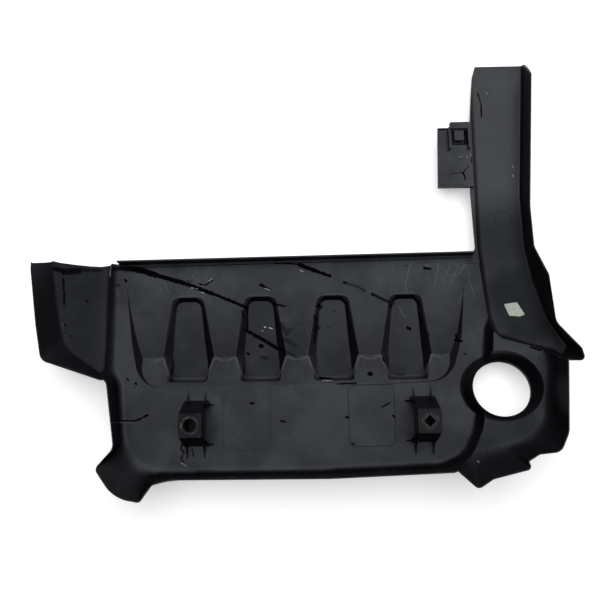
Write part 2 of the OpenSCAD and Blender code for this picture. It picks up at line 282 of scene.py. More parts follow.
SKIRT_SLOPE = (SKIRT_RIGHT - SKIRT_LEFT) / 470
ARM_SLOPE = -ARM_FALL / 332
main_plane = np.array([PANEL_Z, 0, 0])
rim_plane = np.array([PANEL_Z + SKIRT_LEFT + 215 * SKIRT_SLOPE, SKIRT_SLOPE, 0])
right_plane = raised(main_plane, RIGHT_RISE)
wing_plane = raised(main_plane, -WING_DROP)
arm_plane = np.array([PANEL_Z - ARM_DROP + 70 * ARM_SLOPE, 0, ARM_SLOPE])
arm_rim_plane = raised(arm_plane, ARM_WALL)
recess_c = [(-201, 6, 4), (-193, -60, 90), (-183, -111, 30), (0, -112.8, 30), (152, -107, 30),
            (166, -60, 90), (172, 6, 4)]
recess_y = (4, -77, -112)
pocket_y = (-13, -76, -98, -104)
POCKET_R = (8, 5, 3, 1.5)
POCKET_FLOOR = [(-12.6, -16), (-18, -76), (-19.4, -98), (-18.8, -103)]
POCKET_MOUTH = [(-15.6, -13.5), (-26.4, -75), (-20.4, -98), (-19.6, -103.5)]
BEVEL = 1.8


def recess_depth(y):
    """How deep the recess is along Y: 12 k^1.5 down to its deep edge, then straight up again."""
    k = np.clip((recess_y[0] - y) / (recess_y[0] - recess_y[1]), 0, 1)
    back = np.clip((y - recess_y[2]) / (recess_y[1] - 1 - recess_y[2]), 0, 1)
    return PLATEAU_DEPTH * np.minimum(k ** 1.5, back)


def recess(t):
    """A plateau that falls to its deep edge and a band that climbs back, inside drafted sides."""
    z = PANEL_Z
    sides = loft("recess", [
        ring(grown(recess_c, t - 7), [z - PLATEAU_DEPTH - t - 2, 0, 0], FINE),
        ring(grown(recess_c, t), [z, 0, 0], FINE), ring(grown(recess_c, t), [z + 4, 0, 0], FINE)])
    return combine(sides, section("fall", [
        (recess_y[0] + 12, z + 4 - t),
        *[(recess_y[0] + k * (recess_y[1] - recess_y[0]), z - t - PLATEAU_DEPTH * k ** 1.5)
          for k in np.linspace(0, 1, 16)],
        (recess_y[1] - 1, z - PLATEAU_DEPTH - t), (recess_y[2], z - t),
        (recess_y[2] - 12, z + 4 - t)], -230, 200), "INTERSECT")


def pocket(t, x):
    """A tapered pocket, widest at its deep end, where its lower corners are cut off. Its floor
    is a plane, and its mouth, with a narrow bevel, follows the depth of the recess."""
    z, y = PANEL_Z, pocket_y
    slope = (POCKET_DEPTH - POCKET_STEP) / (y[0] - 1.5 - y[3])
    floor = [z - POCKET_STEP - t - slope * (y[0] - 1.5), 0, slope]
    rings = []
    for half, g in ((POCKET_FLOOR, 0), (POCKET_MOUTH, 0), (POCKET_MOUTH, BEVEL), (POCKET_MOUTH, BEVEL)):
        left = np.column_stack([half, POCKET_R])
        both = np.concatenate([left, left[::-1] * (-1, 1, 1)]) + (x, 0, 0)
        rings.append(ring(grown(both, t + g), raised(floor, -1), FINE))
    for r, above in ((rings[1], -0.8 * BEVEL - t), (rings[2], -t)):
        r[:, 2] = z - recess_depth(r[:, 1]) + above
    rings[3][:, 2] = z + 2
    return combine(loft("pocket", rings), section("slope", [
        (y[0] + 4.0, z + 2), (y[0] + 4.0, z - t), (y[0] + 1.8, z - 1.4 - t),
        (y[0] - 0.6, z - POCKET_STEP - t),
        (y[3], z - POCKET_DEPTH - t), (y[3] - 7, z - POCKET_DEPTH - t), (y[3] - 7, z + 2)],
        x - 40, x + 40), "INTERSECT")


FILLER = np.array([203.4, -116.4, PANEL_Z + 8.5])
FILLER_R, FILLER_TILT, COLLAR_R, LAND = 30.4, math.radians(14), 39.2, 4.0
RIM_R = FILLER_R + 1.6
around = np.linspace(0, 2 * np.pi, 144, endpoint=False)


def tilt_ring(r, dz):
    """A circle of radius r in the plane of the filler opening, moved by dz along its axis."""
    x, y = r * np.cos(around), r * np.sin(around)
    c, s = math.cos(FILLER_TILT), math.sin(FILLER_TILT)
    return FILLER + np.stack([x, y * c + dz * s, dz * c - y * s], 1)


def base_ring(g, z):
    """The level oval where the cone round the opening meets a panel, grown by g."""
    return np.stack([FILLER[0] - 1.4 + (COLLAR_R + g) * np.cos(around),
                     FILLER[1] + 1.5 + (COLLAR_R * 0.885 + g) * np.sin(around), 0 * around + z], 1)


def form(t):
    """The filled form of the whole cover, grown by t."""
    parts = [
        tub("right", right_floor, right_plane, right_rim, rim_plane, t),
        tub("arm", arm_floor, arm_plane, arm_rim, arm_rim_plane, t, 3),
        tub("flange", flange_c, raised(arm_plane, FLANGE_STEP), grown(flange_c, 2), arm_rim_plane,
            t, 1, 2),
        tub("wing", wing_floor, wing_plane, wing_rim, rim_plane, t, 4),
        loft("funnel", [tilt_ring(RIM_R + t / 2, -t - 1.5), base_ring(t + 3.2, PANEL_Z + RIGHT_RISE - 0.4),
                        base_ring(t + 4.2, PANEL_Z + RIGHT_RISE + 9)]),
        recess(t)] + [pocket(t, FIRST + i * PITCH) for i in range(POCKETS)]
    whole = tub("cover", main_floor, main_plane, main_rim, rim_plane, t)
    for part in parts:
        whole = combine(whole, part, "UNION")
    return whole


cover = combine(form(WALL), form(0), "DIFFERENCE")
trim = np.column_stack([np.array(plan), np.zeros(len(plan))])
cover = combine(cover, loft("plan", [trim[::-1] + (0, 0, z) for z in (-1, OVER_ALL)]), "INTERSECT")

rim_end, foot_end = (p[0] + p[2] * y for p, y in ((arm_rim_plane, 238), (arm_plane, 266)))
cover = combine(cover, section("arm_end", [(234, OVER_ALL), (234, rim_end + 6), (269, foot_end),
                                           (300, foot_end), (300, OVER_ALL)], 250, 300), "DIFFERENCE")
cover = combine(cover, loft("lip", [
    np.array([(x, y - 5, PANEL_Z), (x, y - 3, PANEL_Z), (x, y - 2.4, PANEL_Z + 1), (x, y, PANEL_Z + 1),
              (x, y + 0.2, PANEL_Z + h), (x, y + 1.8, PANEL_Z + h), (x, y + 1.4, PANEL_Z - WALL),
              (x, y - 5, PANEL_Z - WALL)])[::-1]
    for h, x, y in ((17, -208, 25.5), (13, 183, 30.5))]), "UNION")

arm_flange = raised(arm_plane, FLANGE_STEP)
BRACKET, BRACKET_RISE, BRACKET_RIB = (149.5, 111, 190, 184.5), 1.4, 6.0
bracket_plane = raised(arm_flange, BRACKET_RISE)
WINDOW = (168.6, 163, 186.2, 181)
RIB_T = 2.0


def slab(x0, y0, x1, y1, lo, hi, lean=0.0):
    """A plate that follows the arm's slope, between two heights over the bracket's plane; its
    left side leans by the given amount."""
    c = [(x0 + lean, y1, 0.6), (x0, y0, 0.6), (x1, y0, 0.6), (x1, y1, 0.6)]
    return loft("slab", [ring(c, raised(bracket_plane, lo), 2), ring(c, raised(bracket_plane, hi), 2)])


b, w = BRACKET, WINDOW
plate = slab(*BRACKET, -WALL, 0, 3.4)
for part in ((b[0], b[1], b[2], b[1] + 1.6, -WALL, BRACKET_RIB / 2),
             (b[0] + 17.5, b[3] - 2, b[2], b[3] + 6, -WALL, BRACKET_RIB / 2),
             (w[0] - RIB_T, w[1] - 6, w[2] + RIB_T, w[3] + RIB_T, -WALL - BRACKET_RIB, 0),
             (w[0] - 4.6, w[1] - 6, w[0] - 4.6 + RIB_T, w[3] + RIB_T, -1, BRACKET_RIB),
             (w[2], w[1] - 6, w[2] + RIB_T, w[3] + RIB_T, -1, BRACKET_RIB)):
    plate = combine(plate, slab(*part), "UNION")
plate = combine(plate, slab(*w, -BRACKET_RIB, BRACKET_RIB), "DIFFERENCE")
plate = combine(plate, slab(w[0] + 3.2, w[3] - 12, w[2] - 3.6, w[3] + 0.5, -WALL, 0), "UNION")
cover = combine(cover, plate, "UNION")

# Mounting bosses: two pedestal boxes, each with a bored seat and two gusset ribs.
LEFT_BOSS, RIGHT_BOSS = (-121, -151, 1), (120.5, -149.5, -1)
BOSS_H, BOSS_W, BOX_WALL = 43.0, 24.0, 2.4
SOCKET_R, SOCKET_LEN, SEAT_FLOOR, SEAT_LIP, SOCKET_GAP = 9.6, 14.0, 2.0, 1.6, 0.1
RIB_X, BOSS_RIB = 9.2, 1.4
BOSS_Z = PANEL_Z + BOSS_H


def cone(name, x, y, z0, z1, r0, r1, steps=72):
    """A closed cone frustum about an upright axis."""
    a = np.linspace(0, 2 * np.pi, steps, endpoint=False)
    return loft(name, [np.column_stack([x + r * np.cos(a), y + r * np.sin(a), np.full(steps, z)])
                       for z, r in ((z0, r0), (z1, r1))])


def boss_block(g):
    """The tapered pedestal box, its faces moved inwards by g."""
    half = BOSS_W / 2
    return loft("block", [
        ring(grown([(-14, 27, 2), (-14, -22, 2), (14, -22, 2), (14, 27, 2)], -g),
             [PANEL_Z - WALL / 2, 0, 0], 5),
        ring(grown([(-half, half, 2), (-half, -half, 2), (half, -half, 2), (half, half, 2)], -g),
             [BOSS_Z - g, 0, 0], 5)])


def boss(where):
    """One pedestal, hollow between its ribs, moved to its place and mirrored by side."""
    z, top = PANEL_Z, BOSS_Z
    body = boss_block(0)
    for x in (-RIB_X, RIB_X):
        body = combine(body, section("rib", [
            (38, z - 1), (38, z + 0.8), (31, z + 3), (24, z + 8), (18, z + 17), (13, top - 9),
            (10, top - 1), (-10, top - 1), (-13, top - 10), (-17, z + 17), (-23, z + 8),
            (-29, z + 3), (-34, z + 0.8), (-34, z - 1)], x - BOSS_RIB / 2, x + BOSS_RIB / 2), "UNION")
    bow = np.linspace(0, 1, 9)
    flare = np.concatenate([np.column_stack([10.5 + 9.5 * bow, z + 1 + 36 * (1 - bow) ** 2.2]),
                            [(28, z + 0.7), (28, z - 1), (10.5, z - 1)]])
    for v in (21.8, -19.6):
        body = combine(body, loft("flare", [
            np.column_stack([flare[:, 0], np.full(len(flare), v + g), flare[:, 1]])
            for g in (0.7, -0.7)]), "UNION")
    room = RIB_X - BOSS_RIB / 2
    hollow = combine(boss_block(BOX_WALL), section("room", [
        (-40, z), (40, z), (40, z + BOSS_H), (-40, z + BOSS_H)], -room, room), "INTERSECT")
    body = combine(body, hollow, "DIFFERENCE")
    body = combine(body, section("side", [(-18.6, z), (20.6, z), (9.6, top - BOX_WALL - 1),
                                          (-9.6, top - BOX_WALL - 1)], 10, 40), "DIFFERENCE")
    body = combine(body, cone("tube", 0, 0, top - SOCKET_LEN - SEAT_FLOOR, top - 1, SOCKET_R + 1.8,
                              SOCKET_R + 1.8), "UNION")
    body = combine(body, cone("seat", 0, 0, top - SOCKET_LEN, top + 1, SOCKET_R + SOCKET_GAP,
                              SOCKET_R + SOCKET_GAP), "DIFFERENCE")
    body = combine(body, cone("through", 0, 0, top - SOCKET_LEN - SEAT_FLOOR - 1, top - SOCKET_LEN + 1,
                              SOCKET_R - SEAT_LIP, SOCKET_R - SEAT_LIP), "DIFFERENCE")
    centre = -CENTRE * MM
    body.data.transform(Matrix.Translation(-Vector(centre)))
    body.data.transform(Matrix.Diagonal((where[2], 1, 1, 1)))
    body.data.transform(Matrix.Translation(Vector(centre) + Vector((where[0] * MM, where[1] * MM, 0))))
    if where[2] < 0:
        body.data.flip_normals()
    return body


for where in (LEFT_BOSS, RIGHT_BOSS):
    cover = combine(cover, boss(where), "UNION")

cover = combine(cover, loft("collar", [base_ring(1.5, PANEL_Z - WALL), tilt_ring(RIM_R, 0)]), "UNION")
cover = combine(cover, loft("under", [base_ring(-1.5, PANEL_Z - WALL - 1),
                                      tilt_ring(FILLER_R + 0.2, -LAND)]), "DIFFERENCE")
cover = combine(cover, loft("bore", [tilt_ring(FILLER_R, -LAND - 0.3), tilt_ring(FILLER_R, 40)]),
                "DIFFERENCE")
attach(cover, "root")
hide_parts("cover")


# Black plastic: the cover's skin, fine-grained as moulded. It is wiped in places, scratched, and
# marked by cracks, tears and dirt where the photograph shows them. Light and shade are painted on
# it too: paler on the arm's floor, darker on walls, rougher areas, the collar and a few hollows,
# and highlights along the pockets' rims and the dark streaks.
def put(tree, kind, op=None, out=0, **sockets):
    """Adds a node and returns one output. A keyword i0, i1 ... fills the socket of that number,
    with a plain value or with another node's output."""
    made = tree.nodes.new("ShaderNode" + kind)
    if op:
        made.operation = op
    for key, value in sockets.items():
        socket = made.inputs[int(key[1:])]
        if isinstance(value, bpy.types.NodeSocket):
            tree.links.new(value, socket)
        else:
            socket.default_value = value
    return made.outputs[out]


def effect(name, inputs, outputs):
    """An empty node group with the sockets given as (name, kind), and its two end nodes."""
    tree = bpy.data.node_groups.new(name, "ShaderNodeTree")
    for way, sockets in (("INPUT", inputs), ("OUTPUT", outputs)):
        for label, kind in sockets:
            tree.interface.new_socket(label, in_out=way, socket_type="NodeSocket" + kind)
    return tree, tree.nodes.new("NodeGroupInput").outputs, tree.nodes.new("NodeGroupOutput").inputs


def place_effect(tree, group, **sockets):
    """Places a node group; keywords are socket names with _ for a space."""
    made = tree.nodes.new("ShaderNodeGroup")
    made.node_tree = group
    for key, value in sockets.items():
        socket = made.inputs[key.replace("_", " ")]
        if isinstance(value, bpy.types.NodeSocket):
            tree.links.new(value, socket)
        else:
            socket.default_value = value
    return made.outputs[0]


def ramp(tree, value, lo, hi, to_lo=0.0, to_hi=1.0):
    """A value taken smoothly from the range lo to hi into another range, and held there."""
    made = tree.nodes.new("ShaderNodeMapRange")
    made.interpolation_type = "SMOOTHSTEP"
    for i, v in enumerate((value, lo, hi, to_lo, to_hi)):
        if isinstance(v, bpy.types.NodeSocket):
            tree.links.new(v, made.inputs[i])
        else:
            made.inputs[i].default_value = v
    return made.outputs[0]


def mixed(tree, factor, a, b):
    """The colour a where the factor is 0 and b where it is 1."""
    made = tree.nodes.new("ShaderNodeMix")
    made.data_type = "RGBA"
    for label, v in (("Factor", factor), ("A", a), ("B", b)):
        socket = next(i for i in made.inputs if i.name == label and i.enabled)
        if isinstance(v, bpy.types.NodeSocket):
            tree.links.new(v, socket)
        else:
            socket.default_value = v
    return next(o for o in made.outputs if o.enabled)


# A smear is a line of even width: 1 within its half width of the segment, 0 outside it. Its
# start waits for the mask under it, so that a long row of smears is worked out one by one.
smear, given, result = effect("smear", [("Vector", "Vector"), ("Start", "Vector"), ("End", "Vector"),
                                        ("Half Width", "Float"), ("Softness", "Float"),
                                        ("Strength", "Float"), ("Under", "Float")],
                              [("Mask", "Float")])
waits = put(smear, "VectorMath", "MULTIPLY_ADD", i0=given["Under"], i1=(1e-5, 1e-5, 0),
            i2=given["Vector"])
from_start = put(smear, "VectorMath", "SUBTRACT", i0=waits, i1=given["Start"])
along = put(smear, "VectorMath", "SUBTRACT", i0=given["End"], i1=given["Start"])
share = put(smear, "Math", "DIVIDE",
            i0=put(smear, "VectorMath", "DOT_PRODUCT", 1, i0=from_start, i1=along),
            i1=put(smear, "VectorMath", "DOT_PRODUCT", 1, i0=along, i1=along))
share.node.use_clamp = True
nearest = put(smear, "VectorMath", "SCALE", i0=along, i3=share)
off = put(smear, "VectorMath", "LENGTH", 1,
          i0=put(smear, "VectorMath", "SUBTRACT", i0=from_start, i1=nearest))
mask = put(smear, "Math", "MULTIPLY", i0=given["Strength"], i1=ramp(
    smear, off, put(smear, "Math", "MULTIPLY_ADD", i0=given["Half Width"], i1=given["Softness"],
                    i2=given["Half Width"]),
    put(smear, "Math", "MULTIPLY", i0=given["Half Width"], i1=put(
        smear, "Math", "SUBTRACT", i0=1.0, i1=given["Softness"]))))
smear.links.new(put(smear, "Math", "MAXIMUM", i0=given["Under"], i1=mask), result["Mask"])

# Fine scratches are the thin edges of stretched cells, broken up by a coarse noise.
scratch, given, result = effect("scratch", [("Vector", "Vector"), ("Turn", "Float"), ("Fineness", "Float"),
                                            ("Amount", "Float")], [("Mask", "Float")])
bent = put(scratch, "VectorMath", "ADD", i0=given["Vector"], i1=put(
    scratch, "VectorMath", "SCALE", i3=34.0, i0=put(
        scratch, "TexNoise", out=1, i0=given["Vector"], i2=0.018)))
turned = put(scratch, "VectorRotate", i0=bent, i3=given["Turn"])
stretched = put(scratch, "VectorMath", "MULTIPLY", i0=turned, i1=(0.012, 0.16, 0.05))
cells = scratch.nodes.new("ShaderNodeTexVoronoi")
cells.feature, cells.voronoi_dimensions = "DISTANCE_TO_EDGE", "2D"
scratch.links.new(stretched, cells.inputs["Vector"])
scratch.links.new(given["Fineness"], cells.inputs["Scale"])
line = ramp(scratch, cells.outputs["Distance"], 0.022, 0.002)
breaks = ramp(scratch, put(scratch, "TexNoise", i0=given["Vector"], i2=0.09, i3=3.0), 0.42, 0.62)
scratch.links.new(put(scratch, "Math", "MULTIPLY", i0=line, i1=put(
    scratch, "Math", "MULTIPLY", i0=breaks, i1=given["Amount"])), result["Mask"])


def in_cover_mm(tree):
    """The object's own coordinates in the cover's millimetres."""
    where = tree.nodes.new("ShaderNodeTexCoord").outputs["Object"]
    return put(tree, "VectorMath", "MULTIPLY_ADD", i0=where, i1=(1000, 1000, 1000), i2=tuple(CENTRE))


def smears(tree, where, strokes, softness=0.2):
    """All the strokes (x0, y0, x1, y1, half width, strength, height), the strongest on top. The
    edge is softened by the given share of the half width, both ways."""
    under = 0.0
    for x0, y0, x1, y1, half, strength, *z in strokes:
        z = z[0] if z else 0
        under = place_effect(tree, smear, Vector=where, Start=(x0, y0, z), End=(x1, y1, z),
                             Half_Width=half, Softness=softness, Strength=strength, Under=under)
    return under


def uneven(tree, where, scale, reach, detail):
    """The place moved about within half of reach by a noise, so that edges look torn, and made
    flat, so that a mark runs down walls."""
    noise = put(tree, "TexNoise", out=1, i0=where, i2=scale, i3=detail)
    moved = put(tree, "VectorMath", "SCALE", i3=reach, i0=put(
        tree, "VectorMath", "SUBTRACT", i0=noise, i1=(0.5, 0.5, 0.5)))
    return put(tree, "VectorMath", "MULTIPLY", i1=(1, 1, 0), i0=put(
        tree, "VectorMath", "ADD", i0=where, i1=moved))


def rough_skin(tree, height, strength, distance):
    """A fine relief on the surface, as a bump under the shader."""
    bump = tree.nodes.new("ShaderNodeBump")
    bump.inputs["Strength"].default_value = strength
    bump.inputs["Distance"].default_value = distance
    tree.links.new(height, bump.inputs["Height"])
    tree.links.new(bump.outputs["Normal"], tree.nodes["Principled BSDF"].inputs["Normal"])


# Marks on the cover, as strokes (x0, y0, x1, y1, half width, strength). Dark ones are cracks,
# tears and dirt, but the last three are painted shade in the bracket's window; pale ones are
# chips and specks, but those that run along the dark streaks are painted highlights.
DARK = [
    (-216.4, 20.7, -208.7, 22.5, 2.3, 0.85), (-208.7, 22.5, -193.3, 21.5, 2.9, 0.85),
    (-193.3, 21.5, -182.3, 18.9, 3.4, 1), (-182.3, 18.9, -168.2, 13.9, 3.2, 1),
    (-168.2, 13.9, -136.7, 4.5, 2.6, 1), (-136.7, 4.5, -105.5, -7.8, 2.3, 1),
    (-105.6, -7.6, -74.6, -20.7, 1.7, 1), (-74.6, -20.7, -67.7, -23.9, 1.7, 1),
    (-67.7, -22.8, -67.9, -48.4, 1.2, 0.9), (-68.6, -47.8, -52.8, -56.7, 2, 1),
    (-52.8, -56.7, -35.7, -67.2, 2, 1), (-30.2, -68.7, -28.1, -70.1, 2.1, 1),
    (-24.5, -72.2, -13.8, -77.8, 1.4, 0.55), (-119.6, 3.4, -113.4, 1.8, 0.9, 1),
    (-113.4, 1.8, -105.6, 7.2, 0.9, 1), (-133.7, 7.6, -127.4, 5.9, 0.5, 0.8),
    (-202.1, 9.1, -201.5, 8, 1.6, 1), (-210.7, 3.1, -209.4, 3.1, 0.9, 1),
    (-217.1, 9.4, -217.1, 8.2, 0.8, 1), (-52, 1.5, -48.4, -0.8, 1.6, 1),
    (-48.4, -0.8, -41.2, -3.7, 0.8, 1), (-37.4, -20.3, -25.2, -22.8, 1, 1),
    (-72.9, -27.9, -71.4, -34.2, 1.2, 0.8), (-30.1, -41.9, -24.1, -52.9, 2.5, 0.55),
    (-24.1, -52.9, -20.3, -47.8, 1.6, 0.55), (-25.8, -58.6, -15.1, -65, 2.5, 0.5),
    (-53.9, -64.4, -52, -64.8, 2.2, 1), (-69.2, -72.4, -66.5, -73.8, 1.3, 0.9),
    (-53, -76.9, -46.9, -78, 1.9, 0.6), (-35.6, 24.9, -21.5, 24.9, 0.9, 0.9),
    (-21.5, 24.9, -9.1, 23.2, 0.9, 0.9), (-9.1, 23.2, -1.4, 19.9, 2.3, 1),
    (-1.4, 19.9, 9.4, 15.8, 2.3, 1), (9.4, 15.8, 24.9, 9.6, 1.8, 1),
    (40, 2.6, 41.5, 2, 1.6, 0.95), (41, 2, 52.4, -1.7, 1.6, 0.55),
    (52.4, -1.7, 63, -7.3, 1.6, 0.55), (71, -11.2, 72.1, -11.8, 1.7, 0.9),
    (71.4, -11.4, 88.8, -20.3, 1.7, 0.75), (88.8, -25.4, 95.2, -20.6, 1.6, 0.5),
    (107.2, 19.9, 110.5, 19.8, 0.8, 0.6), (128.6, 16.9, 135.5, 15.9, 1.3, 1),
    (9.5, -23.1, 13.1, -21.4, 1.4, 0.9), (13, -24.7, 15.2, -22.5, 1.3, 0.8),
    (6.3, -33.4, 8.5, -39, 1.1, 0.9), (8.9, -33.7, 6.3, -61.6, 1.2, 0.8),
    (8.8, -45.4, 11, -45.4, 2.5, 0.7), (28.6, -27.8, 29.5, -27.8, 0.8, 0.9),
    (20.9, -45.2, 25.5, -45.5, 0.4, 0.8), (109.9, -47.2, 112.4, -48.6, 1.7, 1),
    (128.8, -55.7, 130.9, -56.8, 2.5, 0.5), (161, -56.6, 162.8, -64.3, 1, 1),
    (160, -62.4, 165.9, -64.8, 1.3, 1), (168, -78.7, 168.6, -78.9, 1.2, 1),
    (65.2, -98.3, 67, -98.3, 2.3, 1), (12, -100.5, 24.3, -102.2, 1.6, 0.9),
    (30.8, -108.7, 50.4, -108.3, 1, 0.9), (80.4, -80.3, 82.3, -85, 0.9, 1),
    (96.8, -98.2, 105.1, -98.3, 1.1, 0.6), (-196.9, -100.3, -195.2, -101.4, 0.9, 1),
    (-187.5, -104.8, -187, -105.8, 1.3, 1), (-188.8, -109.3, -188.4, -109.5, 0.8, 1),
    (-205.2, -144.9, -186.9, -145.2, 1.0, 1), (-186.9, -145.2, -181.6, -143.2, 1.1, 1),
    (-181.6, -143.2, -173.2, -139, 1.0, 1), (-63.3, -127.8, -59.6, -128.5, 1.1, 1),
    (-30.8, -147.3, -26.5, -148.4, 1, 0.9), (38.5, -144, 41.1, -144.4, 1.2, 0.9),
    (77.1, -134, 85.8, -129.9, 0.9, 0.9), (88.5, -143.6, 90.5, -145.2, 1, 0.9),
    (44.1, -172.2, 46.2, -172.6, 1, 0.9), (234.4, -74.4, 243.6, -77.3, 1.2, 1),
    (-136.1, -169.9, -137.1, -175.1, 0.9, 0.9), (-137.1, -175.1, -133.8, -179.3, 0.9, 0.9),
    (-133.8, -179.3, -136.9, -184.4, 0.7, 0.9), (-136.9, -184.4, -133.7, -189.6, 0.7, 0.9),
    (-125.4, -175.2, -123.7, -182.5, 0.8, 0.8), (-283.6, 24.4, -273.3, 21.9, 2.6, 0.9),
    (-273.3, 20.9, -256.4, 21.8, 3.6, 0.9), (-256, 22.5, -232, 21.5, 2.2, 0.7),
    (-273.5, 12, -272.6, 1, 1.4, 0.9), (-271.8, -3, -271.2, -16, 1.3, 0.9),
    (-272.7, -36, -268.5, -40.6, 1.1, 0.8), (-246.5, -12.4, -245.1, -13.3, 0.9, 1),
    (-262.6, -51.8, -261.2, -51.8, 0.9, 1), (-234.7, 16.1, -234.6, 14.7, 0.8, 1),
    (186, 136.7, 181.2, 132, 0.5, 1), (181.2, 132, 178.8, 129, 0.6, 1),
    (178.8, 129, 165.1, 128.1, 0.4, 0.9), (178.8, 129, 180.4, 124.8, 1, 1),
    (180.4, 124.8, 180.6, 120.6, 1, 1), (190.2, 149.9, 189.3, 141.4, 0.8, 0.9),
    (154.1, 182.9, 165.7, 183.3, 1.1, 0.8), (150.3, 113.9, 184.7, 113.7, 0.4, 0.7),
    (203.7, 232.2, 205.6, 225.9, 0.7, 0.9), (205.6, 225.9, 206.9, 217, 0.7, 0.9),
    # The last three strokes, from the end of the next line, are painted shade in the bracket's window.
    (206.9, 217, 206.6, 200.7, 0.9, 0.9), (170.4, 179.5, 170.2, 166.1, 1.1, 0.85),
    (184.6, 179.2, 184.4, 164.6, 1.1, 0.85), (170.5, 165, 184.2, 164.9, 1.9, 0.85)]
PALE = [(175.3, 147.8, 178.7, 148.9, 0.375, 0.25), (184.5, 150, 184.3, 146.4, 0.3, 0.25),
        (189.1, 151.1, 188.9, 147.5, 0.375, 0.3), (214.8, 231.5, 215.4, 230.7, 0.45, 0.45),
        # Painted highlights: pale strokes that run along the dark streaks, such as these, stand for glints
        # on the streaks' wet edges.
        (-129.1, -0.7, -126.3, -1.2, 0.375, 0.8), (-124.1, -1.7, -121.9, -2.2, 0.375, 0.55),
        (-118, -5.8, -114.6, -7, 0.3, 0.8), (-110.4, 6.5, -105.9, 8.6, 0.3, 0.5),
        (-49.6, -43.9, -47.4, -44.2, 0.375, 0.8), (-44, -45.1, -40, -45.9, 0.375, 0.8),
        (-52, -48.2, -50.2, -48.7, 0.3, 0.8), (-47.3, -2.9, -41.7, -4.6, 0.3, 0.5),
        (-219.9, 23.1, -220.3, 14, 0.6, 0.9), (13.5, -104.8, 24.2, -105, 0.375, 0.3),
        (-8.4, 16.6, -5.1, 15.3, 0.375, 0.6), (-204.1, -146.2, -189.1, -146.4, 0.225, 0.15),
        (-206.3, -144.9, -205.2, -144.9, 0.375, 0.8), (169.9, -190.2, 170.8, -191, 0.675, 0.2),
        (-136.5, -190, -131.1, -192.6, 0.3, 0.35), (-272.1, -36.1, -271.4, -39.4, 0.225, 0.3),
        (237.9, 139.3, 238.2, 136.9, 0.375, 0.4), (237.1, 127.5, 237.2, 125.1, 0.375, 0.4)]
# Longer scratches in the panel, each of a few straight runs.
SCRATCHES = [(115.7, 25, 111.9, 17.1, 0.55, 0.5), (111.9, 17.1, 110, 7.1, 0.55, 0.5),
    (110, 7.1, 107, -0.1, 0.55, 0.5), (107, -0.1, 108.9, -11.6, 0.55, 0.5),
    (143.8, 23, 144.1, 15.9, 0.55, 0.45), (144.1, 15.9, 139.1, -2.8, 0.55, 0.45),
    (146.7, 8.6, 150, 4.2, 0.55, 0.4), (150, 4.2, 150.3, -3, 0.55, 0.4),
    (158, 22.8, 156.1, 15.7, 0.55, 0.4), (156.1, 15.7, 150.8, 8.5, 0.55, 0.4),
    (150.8, 8.5, 162.6, 9.8, 0.55, 0.4), (165.7, 22.6, 165.7, 14.7, 0.55, 0.55),
    (165.7, 14.7, 161.5, 9.8, 0.55, 0.55), (173.9, 20.3, 167.1, 10.4, 0.55, 0.55),
    (167.1, 10.4, 159.2, 6.2, 0.55, 0.55), (159.2, 6.2, 157.4, -0.3, 0.55, 0.55),
    (177.3, 11.7, 177.7, -0.6, 0.55, 0.35), (177.7, -0.6, 183, -16.4, 0.55, 0.35),
    (101.1, -24.3, 104.3, -31.5, 0.55, 0.6), (104.3, -31.5, 108.2, -36.7, 0.55, 0.6),
    (-159.6, 8.1, -153.6, -6.5, 0.55, 0.4), (-122.8, 23.4, -127.7, 11.1, 0.55, 0.35)]
# Faint lines that the mould left: the edges of two lifters, and three ejector pins as circles.
LIFTERS = [(-91.8, -112, -42.1, -177.3, 0.35), (41.5, -110.1, 90.5, -174.9, 0.55)]
PINS = [(-10.9, -49, 6.8), (143.5, -51.3, 7), (222.1, 73.9, 9.7)]
# Soft areas (x, y, x, y, half width, strength, height): rubbed ones show more scratches; the
# others were never polished by handling, so they are rougher, and they are also painted darker
# as painted shade on the wing's floor, the arm, the right panel's wall and lower edge, a corner
# of the left skirt and the pedestals' faces.
RUBBED = [(95, 10, 150, -10, 30.6, 1), (-190, 0, -120, -5, 27, 0.8), (60, 8, 60, -20, 21.6, 0.5),
          (-60, -160, -60, -150, 23.4, 0.4)]
DULL_AND_SHADE = [(-262, 60, -262, -110, 44, 1.0, 23), (228, -10, 236, -42, 34, 0.9, 22),
        (262, -92, 258, -165, 22, 1.0, 32), (-205, -186, -196, -214, 15, 1.0, 28),
        (222, 60, 226, 20, 36, 0.5, 20), (215, -165, 180, -185, 30, 0.6, 50),
        (-121, -151, -121, -150, 19, 0.95, 70), (120.5, -149.5, 120.5, -149, 19, 0.95, 70)]
# Painted light: the areas of the first list are painted paler, on the arm's floor towards its tip
# and in the recess near its left wall. Lit ones are walls kept out of the painted wall shade, so
# they stay as pale as the level faces.
PAINTED_LIGHT = [(218, 240, 218, 112, 40, 1.0, 30), (-172, -88, -164, -98, 14, 0.45, 10)]
LIT = [(-190, -5, -188, -60, 12, 0.5), (-188, -60, -176, -104, 14, 0.5), (168, -5, 160, -100, 14, 0.8),
       (-218.5, 18, -213.5, -92, 5, 0.9)]
# Painted shade in glossless black, on the right panel's outer wall and the left pedestal's face;
# and the painted highlight along a pocket's rounded rim, half of it, about the pocket's own middle.
SHADE_STROKES = [(262, -92, 258, -165, 15, 0.85, 32), (-121, -151, -121, -150, 15, 0.5, BOSS_Z)]
RIM_HIGHLIGHT = [(41, -80.8, 35.5, -80.5, 0.9, 0.7), (35.5, -80.5, 28.8, -77, 1.3, 1),
        (28.8, -77, 19.4, -98.8, 1.3, 1), (19.4, -98.8, 0, -99.2, 0.8, 0.7),
        (28.8, -77, 17.4, -19, 0.9, 0.45), (17.4, -19, 8.5, -10.2, 0.9, 0.5),
        (8.5, -10.2, 0, -9.8, 0.9, 0.5)]
COLLAR_MID, COLLAR_REACH = (203, -115), (42.3, 36)
LIFTER_ROUND = 6.0

